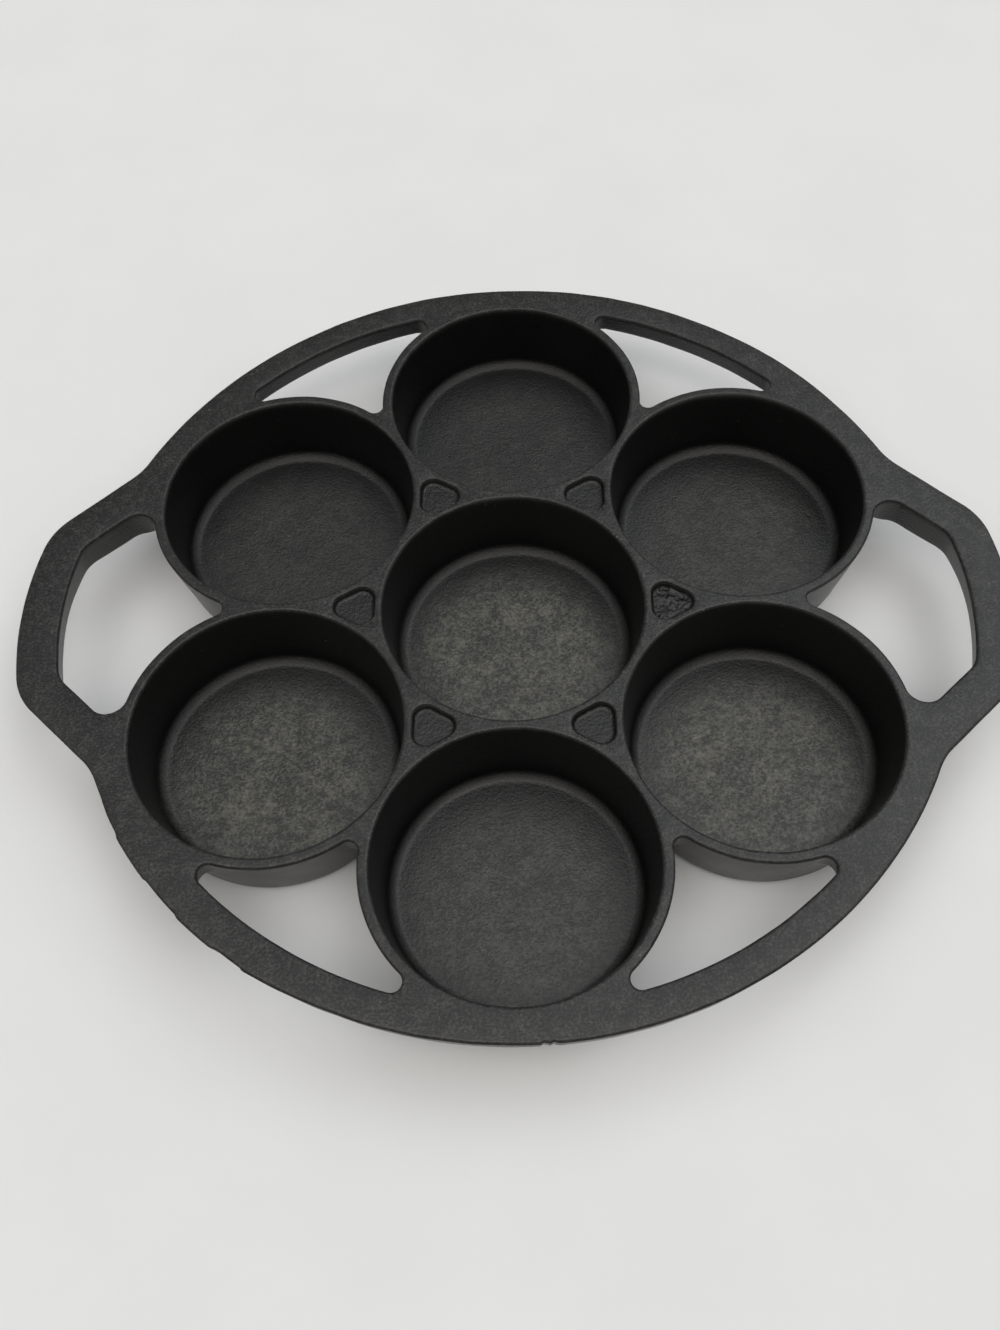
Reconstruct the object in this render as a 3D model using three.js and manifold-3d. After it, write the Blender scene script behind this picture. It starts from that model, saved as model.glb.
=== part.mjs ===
// Cast iron biscuit pan: seven tapered cups in an openwork plate with a ring rim and two loop handles.
// The pan is one casting. It is modelled whole, then parted into the regions that have a name.
// Millimetres, +Z up, handles along X. The origin is on the table, under the axis of the centre cup.

import * as THREE from "three";
import { mergeVertices } from "three/addons/utils/BufferGeometryUtils.js";
import Module from "manifold-3d";

// Driving dimensions, in millimetres, with angles in degrees

// Lean of the casting's walls, so that its pattern leaves the sand
const DRAFT = 9.2; // from upright; bowls and pockets have drafts of their own

// Cups: one in the middle and six round it
const CUP_MOUTH_RADIUS = 41.6; // inside, where the wall would meet the top face
const MOUTH_GAP = 2.8; // metal between neighbouring mouths
const CUP_DEPTH = 24.7;
const BOWL_DRAFT = 8.1; // of the inside
const CUP_WALL = 3.4; // measured level, so it is also the width of a lip
const CUP_FLOOR = 5; // thickness of the floor
const CUP_INNER_FILLET = 3.9; // between floor and wall
const CUP_FOOT_FILLET = 5; // round the outside of the base

// Openwork plate that carries the cups
const PLATE_THICKNESS = 8.6;
const EDGE_ROUND = 1; // along the top edges and lips
const UNDER_ROUND = 1.6; // along the bottom edges of rim and handles
const RIM_LAND = 9.9; // from the mouth of an outer cup to the outside of the ring
const RIM_WIDTH = 9.7;
const WINDOW_CORNER = 3; // where the ring meets a lip
const NOTCH_RADIUS = 2.8; // between two neighbouring lips

// Loop handles
const HANDLE_LENGTH = 19; // from the outside of the ring to the far edge of the grip
const HANDLE_BAR = 13; // width of the bar
const GRIP_BOW = 120; // radius of the grip's bowed far edge
const GRIP_SPAN = 55; // between the flanks at the far edge, before its corners are rounded
const FLANK_LEAN = 42.5; // between a flank and the X axis
const HANDLE_CORNER = 22; // outer radius where the grip turns into a flank
const HANDLE_NECK = 22; // hollow radius between flank and ring
const EYE_CORNER = 6; // inside the loop, where a flank meets a lip
const FLANK_THICKNESS = 14;
const GRIP_THICKNESS = 9.5; // in the middle of the grip
const ARCH_SPAN = 72; // of the arch under the grip
const ROOT_RUN = 6; // from a lip to the full thickness of a flank
const ROOT_HEADING = 18; // about the pan's axis, where a flank begins to thin towards the ring

// Shallow pockets between three cups
const POCKET_WALL = 2.15; // from a side of the pocket to the mouth beside it
const POCKET_CORNER = 4.3;
const POCKET_DEPTH = 2.5;
const POCKET_DRAFT = 15;
const POCKET_FILLET = 0.8; // round the pocket's floor
const POCKET_LAND = 1; // metal round the pocket that belongs to the web

// Facets and cuts
const FACET_SAG = 0.18; // largest gap between an arc of the plan and its chords
const SHORTEST_FACET = 1 / 3; // at the ends of an arc, as a share of a whole facet
const BAR_STEP = 6; // longest step along the underside of a handle
const EDGE_FACETS = 2; // in the round of an edge or a lip
const FOOT_FACETS = 3; // in the fillet round a base
const FLOOR_FACETS = 4; // in the fillet round a floor
const CUT_OVERRUN = 1; // how far a cutter runs past the face that it opens
const PARTING_MARGIN = 0.3; // metal kept beyond a notch where a cup is parted from the rim
const PARTING_LAP = 0.01; // a cup's region reaches this far past the middle, so no film is left there
const SAME_PLACE = 1e-6; // points nearer than this are one point

const IRON = { color: 0x2b2c2e, roughness: 0.55, metalness: 0.4 };

// Sizes that follow
const SIXTHS = 6; // the plan repeats every sixth of a turn
const SIXTH = 360 / SIXTHS;
const HEIGHT = CUP_DEPTH + CUP_FLOOR;
const PLATE_BOTTOM = HEIGHT - PLATE_THICKNESS;
const CUP_PITCH = 2 * CUP_MOUTH_RADIUS + MOUTH_GAP;
const LIP_RADIUS = CUP_MOUTH_RADIUS + CUP_WALL;
const WALL_LEAN = slope(DRAFT);
const RIM_RADIUS = CUP_PITCH + CUP_MOUTH_RADIUS + RIM_LAND;
const RIM_INNER_RADIUS = RIM_RADIUS - RIM_WIDTH;
const HANDLE_REACH = RIM_RADIUS + HANDLE_LENGTH;
const POCKET_DISTANCE = CUP_PITCH / Math.sqrt(3);
const POCKET_INRADIUS = POCKET_DISTANCE - CUP_MOUTH_RADIUS - POCKET_WALL;

// Places in plan, drawn for the sixth of the pan that lies about the +X axis
const axis = new THREE.Vector2();
const cupCentre = polar(CUP_PITCH, SIXTH / 2);
const notchCentre = new THREE.Vector2(notchDistance(), 0);
const flankNormal = 90 - FLANK_LEAN;
const flankDistance = polar(1, flankNormal).dot(new THREE.Vector2(HANDLE_REACH, GRIP_SPAN / 2));
const gripCentre = new THREE.Vector2(HANDLE_REACH - GRIP_BOW, 0);
const cornerCentre = besideLine(
  flankNormal,
  flankDistance - HANDLE_CORNER,
  gripCentre,
  GRIP_BOW - HANDLE_CORNER,
);
const cornerHeading = heading(gripCentre, cornerCentre);
const neckCentre = besideLine(flankNormal, flankDistance + HANDLE_NECK, axis, RIM_RADIUS + HANDLE_NECK);
const neckHeading = heading(axis, neckCentre);
const notchTip = new THREE.Vector2(notchCentre.x - NOTCH_RADIUS, 0);
const partingRadius = notchTip.distanceTo(cupCentre) + PARTING_MARGIN;

// Headings of the named regions about the pan's axis, in degrees
const outerCups = {
  back_right_cup: 30,
  back_cup: 90,
  back_left_cup: 150,
  front_left_cup: 210,
  front_cup: 270,
  front_right_cup: 330,
};
const webs = {
  right_web: 0,
  back_right_web: 60,
  back_left_web: 120,
  left_web: 180,
  front_left_web: 240,
  front_right_web: 300,
};
const rims = {
  back_right_rim: 60,
  back_left_rim: 120,
  front_left_rim: 240,
  front_right_rim: 300,
};
const handles = { right_handle: 0, left_handle: 180 };

const wasm = await Module();
wasm.setup();

// Plan geometry

function slope(degrees) {
  return Math.tan(THREE.MathUtils.degToRad(degrees));
}

function polar(radius, degrees, about = new THREE.Vector2()) {
  const angle = THREE.MathUtils.degToRad(degrees);
  return new THREE.Vector2(radius * Math.cos(angle), radius * Math.sin(angle)).add(about);
}

function heading(from, to) {
  return THREE.MathUtils.radToDeg(Math.atan2(to.y - from.y, to.x - from.x));
}

// The point at distance ra from a and rb from b, to the left of the way from a to b.
function meet(a, ra, b, rb) {
  const way = b.clone().sub(a);
  const gap = way.length();
  const along = (gap * gap + ra * ra - rb * rb) / (2 * gap);
  const left = new THREE.Vector2(-way.y, way.x).setLength(Math.sqrt(ra * ra - along * along));
  return a.clone().add(way.setLength(along)).add(left);
}

// The point at distance r from a on the line that lies `offset` from the pan's axis along `normal`,
// on the clockwise side.
function besideLine(normal, offset, a, r) {
  const beyond = offset - polar(1, normal).dot(a);
  const along = Math.sqrt(r * r - beyond * beyond);
  return a.clone().add(polar(beyond, normal)).add(polar(along, normal - 90));
}

// From the pan's axis to the centre of the small fillet between two neighbouring outer lips.
function notchDistance() {
  const toLip = LIP_RADIUS + NOTCH_RADIUS;
  return cupCentre.x + Math.sqrt(toLip ** 2 - cupCentre.y ** 2);
}

function facetsPerTurn(radius) {
  const widest = 2 * Math.acos(1 - FACET_SAG / radius);
  return SIXTHS * Math.ceil((2 * Math.PI) / (SIXTHS * widest));
}

// Angles of an arc's points. Inner points fall on whole steps, so arcs about one axis share facets.
function arcAngles(from, to, step) {
  const low = Math.min(from, to) + step * SHORTEST_FACET;
  const high = Math.max(from, to) - step * SHORTEST_FACET;
  const inner = [];
  for (let k = Math.ceil(low / step); k * step < high; k += 1) {
    inner.push(k * step);
  }
  if (to < from) {
    inner.reverse();
  }
  return [from, ...inner, to];
}

// An arc of an outline. Each point knows the level direction that leaves the metal there, and its
// share of the rounding under the plate, which runs from underFrom to underTo along the arc.
function arc(centre, radius, from, to, { metalInside, underFrom = 1, underTo = underFrom }) {
  const leave = metalInside ? 1 : -1;
  return arcAngles(from, to, 360 / facetsPerTurn(radius)).map((angle) => ({
    at: polar(radius, angle, centre),
    out: polar(leave, angle),
    under: THREE.MathUtils.mapLinear(angle, from, to, underFrom, underTo),
  }));
}

function turned(points, degrees, moved = axis) {
  const turn = (v) => v.clone().rotateAround(axis, THREE.MathUtils.degToRad(degrees));
  return points.map(({ at, out, under }) => ({ at: turn(at.clone().add(moved)), out: turn(out), under }));
}

// A half outline followed by its reflection in the X or Y axis, walked back to the start.
function withReflection(half, sign) {
  const flip = (v) => v.clone().multiply(sign);
  const back = half.map(({ at, out, under }) => ({ at: flip(at), out: flip(out), under }));
  return [...half, ...back.reverse()];
}

const inX = new THREE.Vector2(1, -1);
const inY = new THREE.Vector2(-1, 1);

// A closed outline, in which the point shared by two arcs is kept once.
function closed(points) {
  return points.filter(({ at }, i) => at.distanceTo(points[(i + 1) % points.length].at) > SAME_PLACE);
}

// Outlines of the plate: counter-clockwise outside, clockwise for openings

function plateQuarter() {
  return [
    ...arc(gripCentre, GRIP_BOW, 0, cornerHeading, { metalInside: true }),
    ...arc(cornerCentre, HANDLE_CORNER, cornerHeading, flankNormal, { metalInside: true }),
    ...arc(neckCentre, HANDLE_NECK, flankNormal + 180, neckHeading + 180, { metalInside: false }),
    ...arc(axis, RIM_RADIUS, neckHeading, 90, { metalInside: true }),
  ];
}

function plateOutline() {
  return closed(withReflection(withReflection(plateQuarter(), inY), inX));
}

// From the corner fillet of an opening, along a lip, to the notch between two lips.
function lipSide(corner) {
  const fromCorner = heading(cupCentre, corner);
  const toNotch = heading(cupCentre, notchCentre);
  const fromLip = heading(notchCentre, cupCentre);
  return [
    ...arc(cupCentre, LIP_RADIUS, fromCorner, toNotch, { metalInside: true, underFrom: 0 }),
    ...arc(notchCentre, NOTCH_RADIUS, fromLip, 180, { metalInside: false, underFrom: 0 }),
  ];
}

function windowOutline() {
  const corner = meet(cupCentre, LIP_RADIUS + WINDOW_CORNER, axis, RIM_INNER_RADIUS - WINDOW_CORNER);
  const outward = heading(axis, corner);
  const half = [
    ...arc(axis, RIM_INNER_RADIUS, 0, outward, { metalInside: false }),
    ...arc(corner, WINDOW_CORNER, outward, heading(corner, cupCentre), { metalInside: false, underTo: 0 }),
    ...lipSide(corner),
  ];
  return closed(withReflection(half, inX)).reverse();
}

function eyeHalf() {
  const innerFlank = flankDistance - HANDLE_BAR;
  const corner = besideLine(flankNormal, innerFlank - EYE_CORNER, cupCentre, LIP_RADIUS + EYE_CORNER);
  return [
    ...arc(gripCentre, GRIP_BOW - HANDLE_BAR, 0, cornerHeading, { metalInside: false }),
    ...arc(cornerCentre, HANDLE_CORNER - HANDLE_BAR, cornerHeading, flankNormal, { metalInside: false }),
    ...arc(corner, EYE_CORNER, flankNormal, heading(corner, cupCentre), { metalInside: false, underTo: 0 }),
    ...lipSide(corner),
  ];
}

function eyeOutline() {
  return closed(withReflection(eyeHalf(), inX)).reverse();
}

// The bar of a loop handle, out to where its flanks run into the ring and the lips.
function barOutline() {
  const outer = plateQuarter().filter(({ at }) => heading(axis, at) < neckHeading + SAME_PLACE);
  const inner = eyeHalf().filter(({ under }) => under > 0);
  return closed(withReflection([...finer(outer), ...finer(inner).reverse()], inX));
}

// A run of an outline's points, with more of them where two lie far apart.
function finer(run) {
  return run.flatMap((here, i) => {
    const next = run[i + 1] ?? here;
    const steps = Math.ceil(here.at.distanceTo(next.at) / BAR_STEP) || 1;
    return Array.from({ length: steps }, (_, k) => ({
      at: here.at.clone().lerp(next.at, k / steps),
      out: here.out.clone().lerp(next.out, k / steps),
      under: THREE.MathUtils.lerp(here.under, next.under, k / steps),
    }));
  });
}

// A triangle with round corners, one of them towards +X, by the distance from its middle to a side.
function roundedTriangle(inradius, corner) {
  return [0, 2 * SIXTH, 4 * SIXTH].flatMap((angle) => {
    const centre = polar(2 * (inradius - corner), angle);
    return arc(centre, corner, angle - SIXTH, angle + SIXTH, { metalInside: true });
  });
}

// Solids

function solid(geometry) {
  geometry.deleteAttribute("normal");
  geometry.deleteAttribute("uv");
  const merged = mergeVertices(geometry);
  return new wasm.Manifold(
    new wasm.Mesh({
      numProp: 3,
      vertProperties: merged.attributes.position.array,
      triVerts: new Uint32Array(merged.index.array),
    }),
  );
}

// A solid between a bottom and a top face. The first outline goes round the outside and the others
// are openings. Each row, from the bottom up, gives its height at a point of an outline and how far
// it is drawn into the metal there.
function loft(outlines, rows) {
  const points = outlines.flat();
  const levels = rows.map((row) =>
    points.map((point) => {
      const { inset, z } = row(point);
      const { x, y } = point.at.clone().addScaledVector(point.out, -inset);
      return new THREE.Vector3(x, y, z);
    }),
  );
  const firsts = outlines.map((_, k) => outlines.slice(0, k).flat().length);
  const triangles = [];
  for (let k = 1; k < levels.length; k += 1) {
    const [below, above] = [levels[k - 1], levels[k]];
    outlines.forEach((outline, loop) => {
      outline.forEach((_, i) => {
        const here = firsts[loop] + i;
        const next = firsts[loop] + ((i + 1) % outline.length);
        triangles.push([below[here], below[next], above[next]], [below[here], above[next], above[here]]);
      });
    });
  }
  const fill = (level) => {
    const loops = outlines.map(({ length }, k) => level.slice(firsts[k], firsts[k] + length));
    const [contour, ...holes] = loops;
    return THREE.ShapeUtils.triangulateShape(contour, holes).map((face) => face.map((i) => level[i]));
  };
  triangles.push(...fill(levels[0]).map((face) => face.reverse()), ...fill(levels.at(-1)));
  const real = triangles.filter(
    ([a, b, c]) => Math.min(a.distanceTo(b), b.distanceTo(c), c.distanceTo(a)) > SAME_PLACE,
  );
  return solid(new THREE.BufferGeometry().setFromPoints(real.flat()));
}

function prism(outline, low, high) {
  return loft(
    [outline],
    [low, high].map((z) => () => ({ inset: 0, z })),
  );
}

// A body turned about a cup's axis, from its half profile.
function revolve(profile, at) {
  const geometry = new THREE.LatheGeometry(profile, facetsPerTurn(LIP_RADIUS));
  geometry.rotateX(Math.PI / 2);
  geometry.translate(at.x, at.y, 0);
  return solid(geometry);
}

// Points of a round corner in a profile.
function round(x, z, radius, from, to, steps) {
  return Array.from({ length: steps + 1 }, (_, k) =>
    polar(radius, THREE.MathUtils.lerp(from, to, k / steps), new THREE.Vector2(x, z)),
  );
}

// How far along each side a round corner starts, where a leaning wall meets a level face.
function cornerStart(radius, draft) {
  return radius / slope((90 + draft) / 2);
}

const quarterTurn = Array.from({ length: EDGE_FACETS + 1 }, (_, k) => ((Math.PI / 2) * k) / EDGE_FACETS);

// Rows of a round bottom edge, from the underside at each point up to the leaning wall.
function bottomEdge(underside) {
  return quarterTurn.map((turn) => (point) => {
    const radius = UNDER_ROUND * point.under;
    const z = underside(point.at) + radius * (1 - Math.cos(turn));
    const wall = WALL_LEAN * (HEIGHT - EDGE_ROUND - z);
    return { inset: wall + radius * (1 - Math.sin(turn)), z };
  });
}

function plateUnderside() {
  return PLATE_BOTTOM;
}

// Under a handle the metal deepens away from lip and ring. Towards the middle of the grip it rises
// again, in an arch for the fingers.
function handleUnderside(at) {
  const { lerp, smoothstep } = THREE.MathUtils;
  const place = new THREE.Vector2(Math.abs(at.x), Math.abs(at.y));
  const fromLip = place.distanceTo(cupCentre) - LIP_RADIUS;
  const toRing = smoothstep(heading(axis, place), ROOT_HEADING, neckHeading);
  const deepened = smoothstep(fromLip, 0, ROOT_RUN) * (1 - toRing);
  const bar = lerp(GRIP_THICKNESS, FLANK_THICKNESS, smoothstep(place.y, 0, ARCH_SPAN / 2));
  return HEIGHT - lerp(PLATE_THICKNESS, bar, deepened);
}

// The plate before it is opened for the cups: round top edges, leaning sides, round bottom edges.
function plate() {
  const outside = plateOutline();
  const windows = Object.values(rims).map((angle) => turned(windowOutline(), angle));
  const eyes = Object.values(handles).map((angle) => turned(eyeOutline(), angle));
  const topEdge = quarterTurn.map((turn) => () => ({
    inset: EDGE_ROUND * (1 - Math.cos(turn)),
    z: HEIGHT - EDGE_ROUND * (1 - Math.sin(turn)),
  }));
  return loft([outside, ...windows, ...eyes], [...bottomEdge(plateUnderside), ...topEdge]);
}

// What a handle's bar has below the plate's rounding, with a plug that reaches up into the plate.
function handleKeel(angle) {
  const plug = () => ({ inset: HANDLE_BAR / 4, z: HEIGHT - PLATE_THICKNESS / 2 });
  const rows = [...bottomEdge(handleUnderside), bottomEdge(plateUnderside).at(-1), plug];
  return loft([turned(barOutline(), angle)], rows);
}

// The outside of a cup below the plate, with a plug that reaches up into the plate.
function cupBody(at) {
  const neck = LIP_RADIUS - WALL_LEAN * (PLATE_THICKNESS - EDGE_ROUND);
  const foot = neck - WALL_LEAN * PLATE_BOTTOM - cornerStart(CUP_FOOT_FILLET, DRAFT);
  const plug = neck - CUP_WALL / 2;
  const plugTop = HEIGHT - PLATE_THICKNESS / 2;
  const profile = [
    new THREE.Vector2(0, 0),
    ...round(foot, CUP_FOOT_FILLET, CUP_FOOT_FILLET, -90, -DRAFT, FOOT_FACETS),
    new THREE.Vector2(neck, PLATE_BOTTOM),
    new THREE.Vector2(plug, PLATE_BOTTOM),
    new THREE.Vector2(plug, plugTop),
    new THREE.Vector2(0, plugTop),
  ];
  return revolve(profile, at);
}

// The inside of a cup: flat floor, fillet, leaning wall and rounded lip.
function cupHollow(at) {
  const corner = CUP_MOUTH_RADIUS - slope(BOWL_DRAFT) * CUP_DEPTH;
  const floor = corner - cornerStart(CUP_INNER_FILLET, BOWL_DRAFT);
  const lip = CUP_MOUTH_RADIUS + cornerStart(EDGE_ROUND, BOWL_DRAFT);
  const profile = [
    new THREE.Vector2(0, CUP_FLOOR),
    ...round(floor, CUP_FLOOR + CUP_INNER_FILLET, CUP_INNER_FILLET, -90, -BOWL_DRAFT, FLOOR_FACETS),
    ...round(lip, HEIGHT - EDGE_ROUND, EDGE_ROUND, 180 - BOWL_DRAFT, 90, EDGE_FACETS),
    new THREE.Vector2(lip, HEIGHT + CUT_OVERRUN),
    new THREE.Vector2(0, HEIGHT + CUT_OVERRUN),
  ];
  return revolve(profile, at);
}

// The hollow of a pocket: a rounded triangle that narrows to a filleted floor.
function pocketHollow(angle) {
  const outline = turned(roundedTriangle(POCKET_INRADIUS, POCKET_CORNER), angle, polar(POCKET_DISTANCE, 0));
  const low = HEIGHT - POCKET_DEPTH;
  const wall = (z) => slope(POCKET_DRAFT) * (HEIGHT - z);
  const rows = [
    () => ({ inset: wall(low) + POCKET_FILLET, z: low }),
    () => ({ inset: wall(low + POCKET_FILLET), z: low + POCKET_FILLET }),
    () => ({ inset: 0, z: HEIGHT }),
    () => ({ inset: 0, z: HEIGHT + CUT_OVERRUN }),
  ];
  return loft([outline], rows);
}

// The whole casting
const outerCentres = Object.values(outerCups).map((angle) => polar(CUP_PITCH, angle));
const cupCentres = [axis, ...outerCentres];
let casting = plate();
for (const angle of Object.values(handles)) {
  casting = casting.add(handleKeel(angle));
}
for (const at of cupCentres) {
  casting = casting.add(cupBody(at));
}
for (const at of cupCentres) {
  casting = casting.subtract(cupHollow(at));
}
for (const angle of Object.values(webs)) {
  casting = casting.subtract(pocketHollow(angle));
}

// Regions of the casting

function webRegion(angle) {
  const land = roundedTriangle(POCKET_INRADIUS + POCKET_LAND, POCKET_CORNER + POCKET_LAND);
  return prism(turned(land, angle, polar(POCKET_DISTANCE, 0)), PLATE_BOTTOM, HEIGHT + CUT_OVERRUN);
}

// A round column about a cup, cut flat half-way to each neighbour.
function cupRegion(at, neighbours) {
  const middle = CUP_PITCH / 2 + PARTING_LAP;
  const flat = THREE.MathUtils.radToDeg(Math.acos(middle / partingRadius));
  const outline = neighbours.flatMap((way, k) => {
    const next = k + 1 < neighbours.length ? neighbours[k + 1] : neighbours[0] + 360;
    return arc(at, partingRadius, way + flat, next - flat, { metalInside: true });
  });
  return prism(outline, -CUT_OVERRUN, HEIGHT + CUT_OVERRUN);
}

function sixthRegion(angle) {
  const far = 2 * HANDLE_REACH;
  const corners = [axis, polar(far, angle - SIXTH / 2), polar(far, angle + SIXTH / 2)];
  return prism(
    corners.map((at) => ({ at, out: axis })),
    -CUT_OVERRUN,
    HEIGHT + CUT_OVERRUN,
  );
}

// Parting takes each region's metal out of what is left of the casting.
let left = casting;

function partOff(region) {
  const piece = left.intersect(region);
  left = left.subtract(region);
  return piece;
}

function ironMesh(name, piece) {
  const { vertProperties, triVerts } = piece.getMesh();
  const geometry = new THREE.BufferGeometry();
  geometry.setAttribute("position", new THREE.BufferAttribute(vertProperties, 3));
  geometry.setIndex(new THREE.BufferAttribute(triVerts, 1));
  const mesh = new THREE.Mesh(geometry, new THREE.MeshStandardMaterial({ ...IRON, flatShading: true }));
  mesh.name = name;
  return mesh;
}

const webGroup = new THREE.Group();
for (const [name, angle] of Object.entries(webs)) {
  webGroup.add(ironMesh(name, partOff(webRegion(angle))));
}

const cupGroup = new THREE.Group();
cupGroup.add(ironMesh("centre_cup", partOff(cupRegion(axis, Object.values(outerCups)))));
for (const [name, angle] of Object.entries(outerCups)) {
  const neighbours = [angle + 2 * SIXTH, angle + 3 * SIXTH, angle + 4 * SIXTH];
  cupGroup.add(ironMesh(name, partOff(cupRegion(polar(CUP_PITCH, angle), neighbours))));
}

const rimGroup = new THREE.Group();
for (const [name, angle] of Object.entries({ ...rims, ...handles })) {
  rimGroup.add(ironMesh(name, partOff(sixthRegion(angle))));
}

const pan = new THREE.Group();
pan.name = "biscuit_pan";
pan.add(cupGroup, webGroup, rimGroup);

export default pan;
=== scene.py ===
# %% [markdown]
# # A cast iron biscuit pan
#
# The pan is one sand casting: a centre cup with six cups round it, held in an openwork plate that has
# a ring rim and two loop handles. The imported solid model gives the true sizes, but its arcs are short
# flats. This lesson builds a fine surface for every part of the casting, gives it the look of seasoned
# iron, and sets it on a pale table.

# %% Load the frame
import math
from functools import partial, reduce
from typing import NamedTuple

import bmesh
import bpy
import numpy as np
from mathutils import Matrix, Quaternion, Vector
from mathutils.geometry import delaunay_2d_cdt


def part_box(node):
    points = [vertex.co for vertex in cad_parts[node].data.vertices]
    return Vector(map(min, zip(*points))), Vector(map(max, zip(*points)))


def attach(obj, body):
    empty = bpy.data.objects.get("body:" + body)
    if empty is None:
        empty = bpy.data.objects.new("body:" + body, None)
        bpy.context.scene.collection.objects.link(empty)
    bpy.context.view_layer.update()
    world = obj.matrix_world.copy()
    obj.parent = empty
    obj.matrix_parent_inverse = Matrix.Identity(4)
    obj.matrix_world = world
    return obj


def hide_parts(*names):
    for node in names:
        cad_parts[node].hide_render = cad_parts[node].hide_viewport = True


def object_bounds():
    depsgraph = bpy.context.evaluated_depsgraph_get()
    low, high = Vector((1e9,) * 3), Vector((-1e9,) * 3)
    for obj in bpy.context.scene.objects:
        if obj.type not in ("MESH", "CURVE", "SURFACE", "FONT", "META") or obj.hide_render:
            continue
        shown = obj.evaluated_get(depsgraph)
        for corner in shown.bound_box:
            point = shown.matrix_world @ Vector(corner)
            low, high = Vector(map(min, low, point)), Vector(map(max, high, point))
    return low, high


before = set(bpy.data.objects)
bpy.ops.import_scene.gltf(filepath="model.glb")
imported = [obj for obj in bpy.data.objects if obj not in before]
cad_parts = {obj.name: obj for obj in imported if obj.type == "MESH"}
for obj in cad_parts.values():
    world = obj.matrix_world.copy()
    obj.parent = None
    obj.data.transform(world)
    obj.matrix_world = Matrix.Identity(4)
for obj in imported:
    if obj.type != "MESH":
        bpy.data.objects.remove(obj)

cad_low, cad_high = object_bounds()
print("packed model:", len(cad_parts), "nodes,", [round(v, 4) for v in cad_high - cad_low], "m")

# %% [markdown]
# ## Sizes
#
# Blender works in metres and a pan is measured in millimetres, so every size below is a count of MM.
# Angles are in degrees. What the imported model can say, such as the height of the rim or the reach of
# a handle, is read from it. The rest are the casting's own sizes: walls, roundings and the lean (the
# draft) that lets the pattern slip out of the sand.

# %% Sizes of the casting
MM = 0.001

TOP = cad_high.z
RIM_RADIUS = cad_high.y
HANDLE_REACH = cad_high.x
PLATE_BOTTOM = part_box("back_left_rim")[0].z
FLANK_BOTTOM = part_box("left_handle")[0].z

LEAN = math.tan(math.radians(9.2))
BOWL_LEAN = math.tan(math.radians(8.1))
CUP_MOUTH_RADIUS = 41.6 * MM
MOUTH_GAP = 2.8 * MM
CUP_WALL = 3.4 * MM
CUP_FLOOR = 5 * MM
FLOOR_FILLET = 3.9 * MM
FOOT_FILLET = 5 * MM
EDGE_ROUND = 1 * MM
UNDER_ROUND = 1.6 * MM
RIM_WIDTH = 9.7 * MM
WINDOW_CORNER = 3 * MM
NOTCH_RADIUS = 2.8 * MM
HANDLE_BAR = 13 * MM
GRIP_BOW = 120 * MM
GRIP_SPAN = 55 * MM
FLANK_LEAN = 42.5
HANDLE_CORNER = 22 * MM
HANDLE_NECK = 22 * MM
EYE_CORNER = 6 * MM
GRIP_THICKNESS = 9.5 * MM
ARCH_SPAN = 72 * MM
ROOT_RUN = 6 * MM
ROOT_HEADING = 18

SIXTH = 60
CUP_PITCH = 2 * CUP_MOUTH_RADIUS + MOUTH_GAP
LIP_RADIUS = CUP_MOUTH_RADIUS + CUP_WALL
RIM_INNER_RADIUS = RIM_RADIUS - RIM_WIDTH

print("cups", round(CUP_PITCH / MM, 1), "mm apart, rim", round(2 * RIM_RADIUS / MM, 1), "mm across")

# %% [markdown]
# ## Drawing the plan
#
# Seen from above, every edge of the plate is made of arcs that run smoothly into one another. A point
# of the plan is written as one complex number, x + iy. Then a turn is one multiplication, a mirror is
# a conjugate, and an arc is centre + radius times e to the i angle. Each point also carries the level
# direction that leaves the metal there, because the edge's rounding and lean are measured along it.

# %% Arcs and outlines
ARC_STEP = 0.9 * MM
SAME_PLACE = 0.001 * MM


class Outline(NamedTuple):
    """A closed walk, metal on its left: places, ways out of the metal, shares of the bottom round."""

    at: np.ndarray
    out: np.ndarray
    under: np.ndarray


def ray(degrees):
    """e to the i angle: the point one unit from the origin at that heading."""
    return np.exp(1j * np.radians(degrees))


def heading(start, end):
    """The heading, in degrees, of the way from one point of the plan to another."""
    return math.degrees(np.angle(end - start))


def arc(centre, radius, start, end, metal_inside, under=(1, 1), step=ARC_STEP):
    """centre + radius * ray(angle), with the angle going evenly from start to end."""
    count = max(4, math.ceil(math.radians(abs(end - start)) * radius / step))
    way = ray(np.linspace(start, end, count + 1))
    return Outline(centre + radius * way, way if metal_inside else -way, np.linspace(*under, count + 1))


def chain(*arcs):
    """Arcs one after another."""
    return Outline(*(np.concatenate(parts) for parts in zip(*arcs)))


def with_reflection(half, flip):
    """Half an outline, then the same half walked back in a mirror."""
    back = Outline(flip(half.at[::-1]), flip(half.out[::-1]), half.under[::-1])
    return chain(half, back)


def in_x(points):
    """Mirrored in the X axis: x + iy becomes x - iy."""
    return points.conj()


def in_y(points):
    """Mirrored in the Y axis: x + iy becomes -x + iy."""
    return -points.conj()


def turned(outline, degrees):
    """An outline turned about the pan's axis: every place and way is multiplied by ray(degrees)."""
    return Outline(outline.at * ray(degrees), outline.out * ray(degrees), outline.under)


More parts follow.
